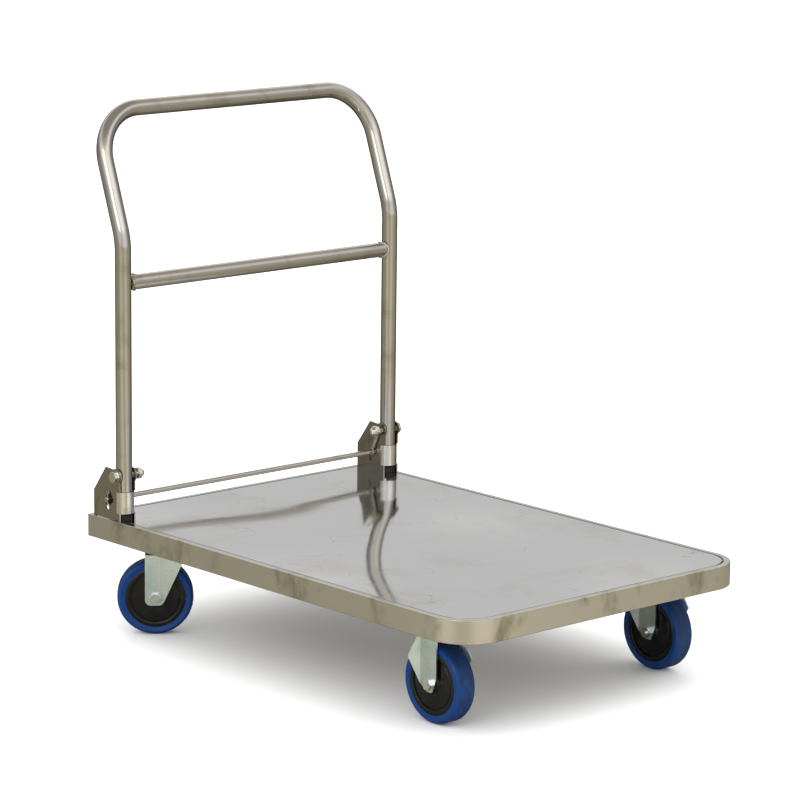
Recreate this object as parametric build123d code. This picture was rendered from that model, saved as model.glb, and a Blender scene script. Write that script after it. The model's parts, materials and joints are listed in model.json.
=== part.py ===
from build123d import *
import os
from math import atan2, cos, degrees, hypot, radians, sin, sqrt, tan

os.makedirs("parts", exist_ok=True)

# A stainless platform cart with a fold-down push handle. Millimetres. +X is the free end of
# the deck, the handle stands at -X, +Y is the pusher's left and +Z is up. The origin is on the
# floor, under the middle of the whole cart.

# Wheels and casters
wheel_diameter = 125.0
tyre_width = 36.0
tyre_depth = 13.0
tyre_shoulder = 8.0
tyre_sidewall = 7.5
core_rim_width = 8.0
core_groove_width = 1.6
core_groove_depth = 2.5
core_face_step = 1.4
hub_width = 36.0
hub_radius = 15.0
hub_clearance = 1.5
bearing_radius = 10.5
bearing_length = 32.0
sleeve_radius = 7.5
axle_radius = 5.0
running_clearance = 0.05
fit_clearance = 0.1
axle_head_across_flats = 16.0
axle_head_height = 6.4
axle_nut_height = 8.0
axle_thread_end = 3.0
caster_rise = 30.0
caster_plate_length = 105.0
caster_plate_width = 85.0
caster_plate_sheet = 3.0
plate_corner_radius = 8.0
caster_bolt_spacing_x = 80.0
caster_bolt_spacing_y = 60.0
caster_bolt_radius = 4.0
caster_hole_clearance = 0.5
caster_bolt_across_flats = 13.0
caster_head_height = 5.3
caster_nut_height = 6.5
hex_chamfer = 0.7
fork_sheet = 2.5
fork_boss_drop = 12.5
fork_toe_radius = 9.5

# Swivel casters, at the handle end
swivel_trail = 18.0
swivel_angle = 52.0
swivel_inset_x = 119.0
swivel_race_height = 16.0
race_radius = 34.0
ball_radius = 4.1
ball_pitch_radius = 25.0
ball_count = 16
ball_clearance = 0.05
seal_outer_radius = 35.5
seal_inner_radius = 31.5
seal_height = 6.5
seal_clearance = 0.8
kingpin_radius = 6.0
kingpin_head_radius = 10.0
kingpin_head_height = 3.5
kingpin_clearance = 0.3
crown_sheet = 3.0
swivel_leg_back = 17.0
swivel_leg_fold = 9.5
swivel_leg_second_fold = 20.0
swivel_leg_toe = 11.0
swivel_leg_front = 50.5
swivel_flare_first = 3.5
swivel_flare_second = 6.5
crown_nose = 53.0
crown_corner = 14.0
crown_edge_radius = 1.8

# Fixed casters, at the free end
fixed_inset_x = 125.0
fixed_leg_front = 15.0
fixed_leg_fold = 21.0
fixed_wing_flare = 30.0
fixed_wing_reach = 38.0
fixed_wing_height = 38.0
fixed_wing_top = 26.0
fixed_wing_top_height = 68.0
fixed_edge_radius = 3.5
fixed_toe_front = 6.5
fixed_toe_back = 4.0
fixed_toe_chamfer_front = 9.5
fixed_toe_chamfer_back = 1.5
caster_inset_y = 70.0

# Deck
deck_length = 910.0
deck_width = 610.0
rim_height = 37.5
rim_sheet = 1.5
rim_lip = 10.5
rim_return = 9.0
rim_bend_radius = 1.3
corner_radius = 65.0
panel_sheet = 1.5
panel_recess = 0.6
panel_groove = 1.2
panel_corner_radius = 55.0
rail_width = 90.0
rail_depth = 19.4
rail_sheet = 2.0
rail_end_gap = 4.0
cross_depth = 12.0
cross_width = 50.0
cross_flange = 14.0
cross_sheet = 1.5
cross_count = 5
cross_end_inset = 55.0

# Handle
tube_diameter = 26.9
tube_wall = 1.5
leg_inset_x = 75.0
bend_height = 462.5
bend_radius = 120.0
lean_angle = 19.8
grip_height = 664.5
grip_corner_radius = 85.0
crossbar_diameter = 25.0
crossbar_wall = 1.2
crossbar_height = 392.5
cope_clearance = 0.05
plug_flange = 2.0
plug_length = 14.0

# Hinge brackets and pivots
bracket_sheet = 2.5
bracket_play = 0.6
bracket_rim_inset = 1.0
pivot_height = 75.0
lobe_radius = 13.0
bracket_rear = 60.0
bracket_front = 9.0
knee_height = 44.0
shoulder_rear = 28.0
shoulder_height = 87.0
crest_rear = 9.0
crest_height = 85.5
collar_bottom = 13.5
collar_top = 49.0
foot_gap = 1.0
notch_radius = 2.3
notch_inset = 8.0
pivot_radius = 5.0
pivot_hole_clearance = 0.2
pivot_across_flats = 17.0
pivot_head_height = 6.4
pivot_washer_radius = 10.5
pivot_washer_sheet = 1.5
pivot_nut_height = 8.0
pivot_dome_radius = 7.4
bush_radius = 7.5
bush_play = 0.2
pad_height = 10.0
pad_back = 17.0
pad_side_clearance = 0.5

# Lock rod
rod_diameter = 9.0
rod_clearance = 0.3
rod_height = 34.5
rod_overhang = 7.0
rod_travel = 14.0
slot_angle = 20.0
slot_clearance = 0.5
sweep_clearance = 1.0
rod_washer_radius = 8.5
rod_washer_sheet = 1.2
split_pin_radius = 1.2
split_pin_length = 22.0
split_pin_eye = 2.8
split_pin_flat = 0.9
spring_radius = 3.5
spring_end_gap = 0.5

# Values worked out from the sizes above
wheel_radius = wheel_diameter / 2
core_radius = wheel_radius - tyre_depth
caster_height = wheel_diameter + caster_rise
plate_underside = caster_height - caster_plate_sheet
crown_top = plate_underside - swivel_race_height
fork_inner = hub_width / 2 + hub_clearance
fork_outer = fork_inner + fork_sheet
fork_middle = fork_inner + fork_sheet / 2
cross_bottom = caster_height + rail_depth
cross_top = cross_bottom + cross_depth
panel_top = cross_top + panel_sheet
deck_top = panel_top + panel_recess
rim_bottom = deck_top - rim_height
tube_radius = tube_diameter / 2
crossbar_radius = crossbar_diameter / 2
bracket_inner = tube_radius + bracket_play
bracket_outer = bracket_inner + bracket_sheet
leg_y = deck_width / 2 - bracket_rim_inset - bracket_outer
grip_setback = (grip_height - bend_height) * tan(radians(lean_angle))
rear_overhang = max(0.0, grip_setback + tube_radius - leg_inset_x)
deck_rear = -(deck_length + rear_overhang) / 2 + rear_overhang
deck_front = deck_rear + deck_length
deck_middle = deck_rear + deck_length / 2
leg_x = deck_rear + leg_inset_x
grip_x = leg_x - grip_setback
pivot_z = deck_top + pivot_height
rod_radius = rod_diameter / 2
rod_x = leg_x - tube_radius - rod_clearance - rod_radius
rod_z = deck_top + rod_height
rod_reach = hypot(leg_x - rod_x, pivot_z - rod_z)
leg_tail = sqrt((rod_reach - rod_radius - sweep_clearance) ** 2 - tube_radius**2)
leg_end = pivot_z - leg_tail
plate_face = leg_y + bracket_outer
inner_face = leg_y - bracket_outer
rod_end = plate_face + rod_overhang
split_pin_y = plate_face + 2 * rod_clearance + rod_washer_sheet + split_pin_radius
spring_y = inner_face - spring_radius - spring_end_gap
nut_face = spring_y - spring_radius - spring_end_gap
caster_y = deck_width / 2 - caster_inset_y
swivel_x = deck_rear + swivel_inset_x
fixed_x = deck_front - fixed_inset_x
half_bolts_x = caster_bolt_spacing_x / 2
half_bolts_y = caster_bolt_spacing_y / 2
bolt_offsets = [(x, y) for x in (-half_bolts_x, half_bolts_x) for y in (-half_bolts_y, half_bolts_y)]
sides = {"left": 1, "right": -1}


def block(x0, x1, y0, y1, z0, z1):
    return Pos((x0 + x1) / 2, (y0 + y1) / 2, (z0 + z1) / 2) * Box(abs(x1 - x0), abs(y1 - y0), abs(z1 - z0))


def post(radius, z0, z1, x=0.0, y=0.0):
    return Pos(x, y, (z0 + z1) / 2) * Cylinder(radius, z1 - z0)


def bar(radius, y0, y1, x, z):
    return Pos(x, (y0 + y1) / 2, z) * Rot(90, 0, 0) * Cylinder(radius, abs(y1 - y0))


def sheet_strip(points, thickness, z0, z1):
    # An upright strip of sheet that follows plan points, with a round at each fold.
    strip = None
    for (xa, ya), (xb, yb) in zip(points, points[1:]):
        turn = degrees(atan2(yb - ya, xb - xa))
        flat = Box(hypot(xb - xa, yb - ya), thickness, z1 - z0)
        flat = Pos((xa + xb) / 2, (ya + yb) / 2, (z0 + z1) / 2) * Rot(0, 0, turn) * flat
        strip = flat if strip is None else strip + flat
    for x, y in points[1:-1]:
        strip += post(thickness / 2, z0, z1, x, y)
    return strip


def hex_head(across_flats, height):
    prism = extrude(RegularPolygon(across_flats / 2, 6, major_radius=False), height)
    corner = across_flats / 2 / cos(radians(30))
    turned = Pos(0, 0, height / 2) * Cylinder(corner, height)
    turned = chamfer(turned.edges().group_by(Axis.Z)[-1], hex_chamfer)
    return prism & turned


def hex_bolt(radius, length, across_flats, head_height):
    # The head is under Z = 0 and the shank rises from it.
    head = Rot(180, 0, 0) * hex_head(across_flats, head_height)
    return head + post(radius, 0, length)


def hex_nut(radius, across_flats, height):
    return hex_head(across_flats, height) - post(radius + fit_clearance, 0, height)


def along_y(side):
    # Turns a part drawn along +Z so that it points inwards, from the side towards the middle.
    return Rot(90 * side, 0, 0)


def pair(make):
    return [make(side) for side in sides.values()]


def save(name, *shapes):
    solids = [solid for shape in shapes for solid in shape.solids()]
    export_step(Compound(children=solids, label=name), f"parts/{name}.step")


# Deck


def deck_outline(inset, front_radius):
    sheet = Rectangle(deck_length - 2 * inset, deck_width - 2 * inset)
    rounded = fillet(sheet.vertices().group_by(Axis.X)[-1], front_radius)
    return Pos(deck_middle, 0) * rounded


def deck_slab(inset, z0, z1):
    return Pos(0, 0, z0) * extrude(deck_outline(inset, corner_radius - inset), z1 - z0)


def make_rim():
    skin = deck_slab(0, rim_bottom, deck_top)
    skin = fillet(skin.edges().group_by(Axis.Z)[-1], rim_bend_radius)
    skin -= deck_slab(rim_sheet, rim_bottom + rim_sheet, deck_top - rim_sheet)
    skin -= deck_slab(rim_lip, deck_top - rim_sheet, deck_top)
    skin -= deck_slab(rim_return, rim_bottom, rim_bottom + rim_sheet)
    half = deck_width / 2 - rim_lip
    rear_zone = block(deck_rear, deck_rear + rim_lip, -half, half, rim_bottom, deck_top)
    return skin - rear_zone, skin & rear_zone


def make_panel():
    plan = deck_outline(rim_lip + panel_groove, panel_corner_radius)
    return Pos(0, 0, cross_top) * extrude(plan, panel_sheet)


def caster_holes():
    return [(centre + dx, dy) for centre in (swivel_x, fixed_x) for dx, dy in bolt_offsets]


def make_rail(side):
    # An upright channel, trimmed to the rim's inside with a gap at both ends.
    middle = side * caster_y
    half = rail_width / 2
    rail = block(deck_rear, deck_front, middle - half, middle + half, caster_height, cross_bottom)
    rail -= block(deck_rear, deck_front, middle - half + rail_sheet, middle + half - rail_sheet,
                  caster_height + rail_sheet, cross_bottom)
    rail &= deck_slab(rim_sheet + rail_end_gap, caster_height, cross_bottom)
    for x, dy in caster_holes():
        rail -= post(caster_bolt_radius + caster_hole_clearance, caster_height,
                     caster_height + rail_sheet, x, middle + dy)
    return rail


def make_cross_member(x):
    # A shallow hat section: a raised back against the panel and a flange on each rail.
    end = deck_width / 2 - rim_sheet
    half = cross_width / 2
    hat = block(x - half, x + half, -end, end, cross_bottom, cross_top)
    hat -= block(x - half + cross_sheet, x + half - cross_sheet, -end, end,
                 cross_bottom, cross_top - cross_sheet)
    for way in (-1, 1):
        near, far = x + way * half, x + way * (half + cross_flange)
        hat += block(near, far, -end, end, cross_bottom, cross_bottom + cross_sheet)
    return hat & deck_slab(rim_sheet, cross_bottom, cross_top)


# Handle


def half_route(side):
    # Up one leg, back along the lean and to the corner of the grip.
    y = side * leg_y
    foot = (leg_x, y, leg_end + plug_flange)
    return [foot, (leg_x, y, deck_top + bend_height), (grip_x, y, deck_top + grip_height)]


def make_hoop():
    radii = [bend_radius, grip_corner_radius, grip_corner_radius, bend_radius]
    route = FilletPolyline(*half_route(-1), *half_route(1)[::-1], radius=radii)
    ends = Plane(origin=route @ 0, z_dir=route % 0)
    hoop = sweep(ends * Circle(tube_radius), path=route)
    hoop -= sweep(ends * Circle(tube_radius - tube_wall), path=route)
    for side in sides.values():
        hoop -= bar(bush_radius + running_clearance, side * (leg_y - tube_diameter),
                    side * (leg_y + tube_diameter), leg_x, pivot_z)
    return hoop


def make_crossbar():
    z = deck_top + crossbar_height
    tube = bar(crossbar_radius, -leg_y, leg_y, leg_x, z)
    tube -= bar(crossbar_radius - crossbar_wall, -leg_y, leg_y, leg_x, z)
    for side in sides.values():
        tube -= post(tube_radius + cope_clearance, z - tube_diameter, z + tube_diameter, leg_x, side * leg_y)
    return tube


def make_bush(side):
    y0 = side * leg_y - bracket_inner + bush_play
    y1 = side * leg_y + bracket_inner - bush_play
    bore = pivot_radius + running_clearance
    return bar(bush_radius, y0, y1, leg_x, pivot_z) - bar(bore, y0, y1, leg_x, pivot_z)


def make_leg_plug(side):
    y = side * leg_y
    plug = post(tube_radius, leg_end, leg_end + plug_flange, leg_x, y)
    return plug + post(tube_radius - tube_wall - running_clearance, leg_end, leg_end + plug_length, leg_x, y)


# Hinge brackets


def rod_slot(y0, y1):
    # The slot runs from the locked rod down and back, along the rod's own travel.
    radius = rod_radius + slot_clearance
    end_x = rod_x - rod_travel * sin(radians(slot_angle))
    end_z = rod_z - rod_travel * cos(radians(slot_angle))
    middle = Pos((rod_x + end_x) / 2, (y0 + y1) / 2, (rod_z + end_z) / 2)
    straight = middle * Rot(0, slot_angle, 0) * Box(2 * radius, abs(y1 - y0), rod_travel)
    return straight + bar(radius, y0, y1, rod_x, rod_z) + bar(radius, y0, y1, end_x, end_z)


def make_bracket(side):
    outline = [
        (leg_x - bracket_rear, panel_top),
        (leg_x - bracket_rear, deck_top + knee_height),
        (leg_x - shoulder_rear, deck_top + shoulder_height),
        (leg_x - crest_rear, deck_top + crest_height),
        (leg_x + bracket_front, deck_top + crest_height),
        (leg_x + bracket_front, panel_top),
    ]
    profile = Plane.XZ * Polygon(*outline, align=None)
    lobe = Pos(leg_x, 0, pivot_z) * Rot(90, 0, 0) * Cylinder(lobe_radius, deck_width)
    outline_body = extrude(profile, deck_width, both=True)
    above_lobe = block(leg_x, leg_x + lobe_radius, -deck_width, deck_width, pivot_z, deck_top + shoulder_height)
    outline_body = (outline_body - above_lobe) + lobe
    bracket = None
    for face, sign in ((plate_face, -1), (inner_face, 1)):
        y0, y1 = side * face, side * (face + sign * bracket_sheet)
        rear, front = leg_x - bracket_rear, leg_x + lobe_radius
        plate = block(rear, front, y0, y1, panel_top, deck_top + crest_height + lobe_radius) & outline_body
        plate -= block(leg_x, front, y0, y1, deck_top + collar_bottom, deck_top + collar_top)
        plate -= rod_slot(y0, y1)
        plate -= bar(pivot_radius + pivot_hole_clearance, y0, y1, leg_x, pivot_z)
        bracket = plate if bracket is None else bracket + plate
    collar = post(bracket_outer, deck_top + collar_bottom, deck_top + collar_top, leg_x, side * leg_y)
    collar -= post(bracket_inner, deck_top + collar_bottom, deck_top + collar_top, leg_x, side * leg_y)
    collar &= block(leg_x, leg_x + bracket_outer, side * leg_y - bracket_outer, side * leg_y + bracket_outer,
                    panel_top, pivot_z)
    bracket += collar
    # The outer plate stands on the lip by its two ends, with a round notch beside each.
    outer0, outer1 = side * plate_face, side * (plate_face - bracket_sheet)
    rear_notch, front_notch = leg_x - bracket_rear + notch_inset, leg_x + bracket_front - notch_inset
    bracket -= block(leg_x - bracket_rear, leg_x + bracket_front, outer0, outer1, panel_top, deck_top)
    bracket -= block(rear_notch, front_notch, outer0, outer1, deck_top, deck_top + foot_gap)
    for x in (rear_notch, front_notch):
        bracket -= bar(notch_radius, outer0, outer1, x, deck_top)
    return bracket


def make_pivot_bolt(side):
    head_face = plate_face + pivot_washer_sheet
    length = head_face - nut_face + pivot_nut_height
    bolt = hex_bolt(pivot_radius, length, pivot_across_flats, pivot_head_height)
    return Pos(leg_x, side * head_face, pivot_z) * along_y(side) * bolt


def make_pivot_washer(side):
    y0 = side * plate_face
    y1 = side * (plate_face + pivot_washer_sheet)
    bore = pivot_radius + fit_clearance
    return bar(pivot_washer_radius, y0, y1, leg_x, pivot_z) - bar(bore, y0, y1, leg_x, pivot_z)


def make_pivot_nut(side):
    # A cap nut. The spring's upper hook lies between it and the bracket.
    dome = Sphere(pivot_dome_radius) & post(pivot_across_flats, 0, pivot_dome_radius)
    nut = hex_head(pivot_across_flats, pivot_nut_height) + Pos(0, 0, pivot_nut_height) * dome
    nut -= post(pivot_radius + fit_clearance, 0, pivot_nut_height + fit_clearance)
    return Pos(leg_x, side * nut_face, pivot_z) * along_y(side) * nut


def make_pad(side):
    # Square at the back and round in front, like the collar above it.
    half = bracket_inner - pad_side_clearance
    y = side * leg_y
    back = block(leg_x - pad_back, leg_x, y - half, y + half, deck_top, deck_top + pad_height)
    return back + post(half, deck_top, deck_top + pad_height, leg_x, y)


# Lock rod


def make_lock_rod():
    rod = bar(rod_radius, -rod_end, rod_end, rod_x, rod_z)
    rod = chamfer(rod.edges().group_by(Axis.Y)[0] + rod.edges().group_by(Axis.Y)[-1], split_pin_radius / 2)
    for side in sides.values():
        rod -= post(split_pin_radius + fit_clearance, rod_z - rod_diameter, rod_z + rod_diameter,
                    rod_x, side * split_pin_y)
    return rod


def make_split_pin(side):
    half = split_pin_length / 2
    y = side * split_pin_y
    eye = bar(split_pin_eye, y - split_pin_flat, y + split_pin_flat, rod_x, rod_z + half)
    eye -= bar(split_pin_radius, y - split_pin_flat, y + split_pin_flat, rod_x, rod_z + half)
    neck = rod_z + half - (split_pin_eye + split_pin_radius) / 2
    return eye + post(split_pin_radius, rod_z - half, neck, rod_x, y)


def make_rod_washer(side):
    y0 = side * (plate_face + rod_clearance)
    y1 = side * (plate_face + rod_clearance + rod_washer_sheet)
    return bar(rod_washer_radius, y0, y1, rod_x, rod_z) - bar(rod_radius + fit_clearance, y0, y1, rod_x, rod_z)


def make_spring(side):
    # The coiled length between the pivot bolt and the rod, as a plain closed outline.
    run = rod_reach - pivot_radius - rod_radius - 4 * spring_end_gap
    turn = degrees(atan2(leg_x - rod_x, pivot_z - rod_z))
    middle = (pivot_radius - rod_radius) / 2
    centre = rod_reach / 2 + middle
    x = leg_x - centre * sin(radians(turn))
    z = pivot_z - centre * cos(radians(turn))
    return Pos(x, side * spring_y, z) * Rot(0, turn, 0) * Cylinder(spring_radius, run)


# Casters. Each is drawn about its own plate centre at X = Y = 0 and then placed.


def swivel_place(side):
    return Location((swivel_x, side * caster_y, 0), (0, 0, -side * swivel_angle))


def fixed_place(side):
    return Location((fixed_x, side * caster_y, 0))


def caster_plate(sheet):
    plate = Rectangle(caster_plate_length, caster_plate_width)
    plate = fillet(plate.vertices(), plate_corner_radius)
    plate = Pos(0, 0, caster_height - sheet) * extrude(plate, sheet)
    hole = caster_bolt_radius + caster_hole_clearance
    for dx, dy in bolt_offsets:
        plate -= post(hole, caster_height - sheet, caster_height, dx, dy)
    return plate


def axle_hole(axle_x):
    return bar(axle_radius + fit_clearance, -2 * fork_outer, 2 * fork_outer, axle_x, wheel_radius)


def make_swivel_fork():
    axle_x = -swivel_trail
    toe_z = wheel_radius - fork_boss_drop
    back, front = axle_x - swivel_leg_back, axle_x + swivel_leg_front
    outline = Plane.XZ * Polygon(
        (back, crown_top), (back, toe_z), (axle_x + swivel_leg_toe, toe_z), (front, crown_top), align=None)
    outline = fillet(outline.vertices().group_by(Axis.Z)[0], fork_toe_radius)
    cutter = extrude(outline, 2 * fork_outer, both=True)
    fork = None
    for way in (-1, 1):
        plan = [
            (back, way * fork_middle),
            (axle_x + swivel_leg_fold, way * fork_middle),
            (axle_x + swivel_leg_second_fold, way * (fork_middle + swivel_flare_first)),
            (front, way * (fork_middle + swivel_flare_second)),
        ]
        leg = sheet_strip(plan, fork_sheet, toe_z, crown_top - crown_sheet / 2) & cutter
        fork = leg if fork is None else fork + leg
    edge = fork_outer
    crown = Polygon(
        (back, -edge), (axle_x + swivel_leg_fold, -edge),
        (axle_x + swivel_leg_second_fold, -edge - swivel_flare_first),
        (axle_x + crown_nose, -edge - swivel_flare_second),
        (axle_x + crown_nose, edge + swivel_flare_second),
        (axle_x + swivel_leg_second_fold, edge + swivel_flare_first),
        (axle_x + swivel_leg_fold, edge), (back, edge), align=None)
    crown = fillet(crown.vertices().group_by(Axis.X)[-1], crown_corner)
    crown = Pos(0, 0, crown_top - crown_sheet) * extrude(crown, crown_sheet)
    crown = fillet(crown.edges().group_by(Axis.Z)[-1], crown_edge_radius)
    fork = fork + crown - post(kingpin_radius + running_clearance, crown_top - crown_sheet, crown_top)
    return fork - axle_hole(axle_x)


def make_swivel_plate():
    # The top plate with its pressed-down upper race.
    plate = caster_plate(caster_plate_sheet)
    race_bottom = crown_top + 2 * (ball_radius + ball_clearance)
    plate += post(race_radius, race_bottom, plate_underside)
    return plate - post(kingpin_radius + fit_clearance, race_bottom, caster_height)


def make_balls():
    ball = Pos(ball_pitch_radius, 0, crown_top + ball_radius + ball_clearance) * Sphere(ball_radius)
    turns = [Rot(0, 0, index * 360 / ball_count) for index in range(ball_count)]
    return [swivel_place(side) * turn * ball for side in sides.values() for turn in turns]


def make_seal(side):
    z0 = crown_top + seal_clearance
    seal = post(seal_outer_radius, z0, z0 + seal_height) - post(seal_inner_radius, z0, z0 + seal_height)
    return swivel_place(side) * seal


def make_kingpin():
    underside = crown_top - crown_sheet - kingpin_clearance
    pin = post(kingpin_radius, underside, caster_height)
    return pin + post(kingpin_head_radius, underside - kingpin_head_height, underside)


def make_fixed_fork():
    # Plate and legs are one pressing. The two legs are the same shape, turned half round.
    toe_z = wheel_radius - fork_boss_drop
    outline = Plane.XZ * Polygon(
        (fixed_leg_front, caster_height), (fixed_leg_front, wheel_radius + fixed_toe_chamfer_front),
        (fixed_toe_front, toe_z), (-fixed_toe_back, toe_z),
        (-fixed_leg_fold, wheel_radius - fixed_toe_chamfer_back),
        (-fixed_wing_reach, wheel_radius + fixed_wing_height),
        (-fixed_wing_top, wheel_radius + fixed_wing_top_height), (-fixed_wing_top, caster_height), align=None)
    lower = outline.vertices().filter_by(lambda corner: corner.Z < caster_height - caster_plate_sheet)
    cutter = extrude(fillet(lower, fixed_edge_radius), caster_plate_width, both=True)
    wing = fixed_wing_reach - fixed_leg_fold
    plan = [
        (fixed_leg_front, -fork_middle),
        (-fixed_leg_fold, -fork_middle),
        (-fixed_wing_reach, -fork_middle - wing * tan(radians(fixed_wing_flare))),
    ]
    leg = sheet_strip(plan, fork_sheet, toe_z, plate_underside) & cutter
    fork = caster_plate(caster_plate_sheet) + leg + Rot(0, 0, 180) * leg
    return fork - axle_hole(0)


def rear_axle(side):
    return swivel_place(side) * Pos(-swivel_trail, 0, wheel_radius)


def front_axle(side):
    return fixed_place(side) * Pos(0, 0, wheel_radius)


def make_tyre():
    # Side walls rise to a ridge, and a round shoulder runs from the ridge into the flat tread.
    half = tyre_width / 2
    tread = half - tyre_shoulder
    ridge = core_radius + tyre_sidewall
    seat = half - core_face_step
    profile = Polyline((ridge, -half), (core_radius, -seat), (core_radius, seat), (ridge, half))
    profile += TangentArc((wheel_radius, tread), (ridge, half), tangent=(0, 1))
    profile += TangentArc((wheel_radius, -tread), (ridge, -half), tangent=(0, -1))
    profile += Line((wheel_radius, tread), (wheel_radius, -tread))
    return revolve(make_face(profile), Axis.Y)


def make_core():
    # A moulded core: outer ring, groove, inner disc and a hub that stands a little proud.
    ring = tyre_width / 2 - core_face_step
    disc = ring - core_face_step
    groove_outer = core_radius - core_rim_width
    groove_inner = groove_outer - core_groove_width
    half = [
        (bearing_radius, hub_width / 2), (hub_radius, hub_width / 2), (hub_radius, disc), (groove_inner, disc),
        (groove_inner, ring - core_groove_depth), (groove_outer, ring - core_groove_depth),
        (groove_outer, ring), (core_radius, ring),
    ]
    mirrored = [(r, -y) for r, y in half[::-1]]
    return revolve(Polygon(*half, *mirrored, align=None), Axis.Y)


def ring_y(inner, outer, half):
    return bar(outer, -half, half, 0, 0) - bar(inner, -half, half, 0, 0)


def make_bearing():
    return ring_y(sleeve_radius + running_clearance, bearing_radius, bearing_length / 2)


def make_sleeve():
    return ring_y(axle_radius + fit_clearance, sleeve_radius, fork_inner)


def make_axle_bolt(side):
    length = 2 * fork_outer + axle_nut_height + axle_thread_end
    return Pos(0, side * fork_outer, 0) * along_y(side) * hex_bolt(
        axle_radius, length, axle_head_across_flats, axle_head_height)


def make_axle_nut(side):
    return Pos(0, -side * fork_outer, 0) * along_y(side) * hex_nut(
        axle_radius, axle_head_across_flats, axle_nut_height)


def at_caster_holes(fastener, z):
    return [Pos(x, side * caster_y + dy, z) * fastener for side in sides.values() for x, dy in caster_holes()]


edge_rim, rear_edge = make_rim()
save("edge_rim", edge_rim)
save("rear_edge", rear_edge)
save("deck_panel", make_panel())
cross_step = (deck_length - 2 * cross_end_inset) / (cross_count - 1)
for index in range(cross_count):
    save(f"cross_member_{index + 1}", make_cross_member(deck_rear + cross_end_inset + index * cross_step))

save("handle_hoop", make_hoop())
save("handle_crossbar", make_crossbar())
save("pivot_bushes", *pair(make_bush))
save("leg_plugs", *pair(make_leg_plug))
save("pivot_bolts", *pair(make_pivot_bolt))
save("pivot_washers", *pair(make_pivot_washer))
save("pivot_nuts", *pair(make_pivot_nut))
save("bracket_pads", *pair(make_pad))
save("lock_rod", make_lock_rod())
save("rod_split_pins", *pair(make_split_pin))
save("rod_washers", *pair(make_rod_washer))
save("swivel_balls", *make_balls())
save("swivel_seals", *pair(make_seal))

bolt_length = caster_plate_sheet + rail_sheet + caster_nut_height
caster_bolt = hex_bolt(caster_bolt_radius, bolt_length, caster_bolt_across_flats, caster_head_height)
caster_nut = hex_nut(caster_bolt_radius, caster_bolt_across_flats, caster_nut_height)
save("caster_bolts", *at_caster_holes(caster_bolt, plate_underside))
save("caster_nuts", *at_caster_holes(caster_nut, caster_height + rail_sheet))

swivel_fork = make_swivel_fork()
swivel_plate = make_swivel_plate()
kingpin = make_kingpin()
fixed_fork = make_fixed_fork()
tyre = make_tyre()
core = make_core()
bearing = make_bearing()
sleeve = make_sleeve()
for name, side in sides.items():
    plate_place = Location((swivel_x, side * caster_y, 0))
    save(f"caster_rail_{name}", make_rail(side))
    save(f"hinge_bracket_{name}", make_bracket(side))
    save(f"lock_spring_{name}", make_spring(side))
    save(f"swivel_plate_{name}", plate_place * swivel_plate)
    save(f"kingpin_{name}", plate_place * kingpin)
    save(f"swivel_fork_{name}", swivel_place(side) * swivel_fork)
    save(f"fixed_fork_{name}", fixed_place(side) * fixed_fork)
    for end, place in (("rear", rear_axle(side)), ("front", front_axle(side))):
        save(f"tyre_{end}_{name}", place * tyre)
        save(f"wheel_core_{end}_{name}", place * core)
        save(f"wheel_bearing_{end}_{name}", place * bearing)
    save(f"swivel_axle_bolt_{name}", rear_axle(side) * make_axle_bolt(side))
    save(f"swivel_axle_nut_{name}", rear_axle(side) * make_axle_nut(side))
    save(f"swivel_axle_sleeve_{name}", rear_axle(side) * sleeve)

save("fixed_axle_bolts", *[front_axle(side) * make_axle_bolt(side) for side in sides.values()])
save("fixed_axle_nuts", *[front_axle(side) * make_axle_nut(side) for side in sides.values()])
save("fixed_axle_sleeves", *[front_axle(side) * sleeve for side in sides.values()])
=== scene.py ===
import bpy
import json
from math import atan2, cos, hypot, pi, radians, sin, sqrt
from mathutils import Matrix, Vector

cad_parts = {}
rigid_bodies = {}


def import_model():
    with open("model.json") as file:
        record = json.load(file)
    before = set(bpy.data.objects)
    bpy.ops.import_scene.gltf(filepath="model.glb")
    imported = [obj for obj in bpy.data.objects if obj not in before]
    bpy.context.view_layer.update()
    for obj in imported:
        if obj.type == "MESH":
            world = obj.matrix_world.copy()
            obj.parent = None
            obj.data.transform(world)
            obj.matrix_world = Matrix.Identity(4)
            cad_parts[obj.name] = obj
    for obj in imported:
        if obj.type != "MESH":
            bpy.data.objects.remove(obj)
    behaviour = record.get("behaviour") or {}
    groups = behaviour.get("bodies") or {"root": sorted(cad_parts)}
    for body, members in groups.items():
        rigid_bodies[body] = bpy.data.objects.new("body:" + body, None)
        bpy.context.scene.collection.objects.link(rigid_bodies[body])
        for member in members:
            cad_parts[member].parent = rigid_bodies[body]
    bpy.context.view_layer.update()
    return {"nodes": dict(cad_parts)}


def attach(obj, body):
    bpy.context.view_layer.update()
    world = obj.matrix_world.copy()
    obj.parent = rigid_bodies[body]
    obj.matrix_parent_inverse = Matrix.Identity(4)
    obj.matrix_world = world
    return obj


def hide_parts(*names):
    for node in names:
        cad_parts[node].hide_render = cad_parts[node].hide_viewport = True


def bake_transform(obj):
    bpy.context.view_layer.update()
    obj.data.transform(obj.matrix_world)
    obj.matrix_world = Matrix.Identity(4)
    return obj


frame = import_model()
mm = 0.001
print("frame loaded:", len(frame["nodes"]), "nodes")


# Small helpers for modelling.

def deselect():
    if bpy.context.object and bpy.context.object.mode != "OBJECT":
        bpy.ops.object.mode_set(mode="OBJECT")
    bpy.ops.object.select_all(action="DESELECT")


def only(piece):
    deselect()
    piece.select_set(True)
    bpy.context.view_layer.objects.active = piece


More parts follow.
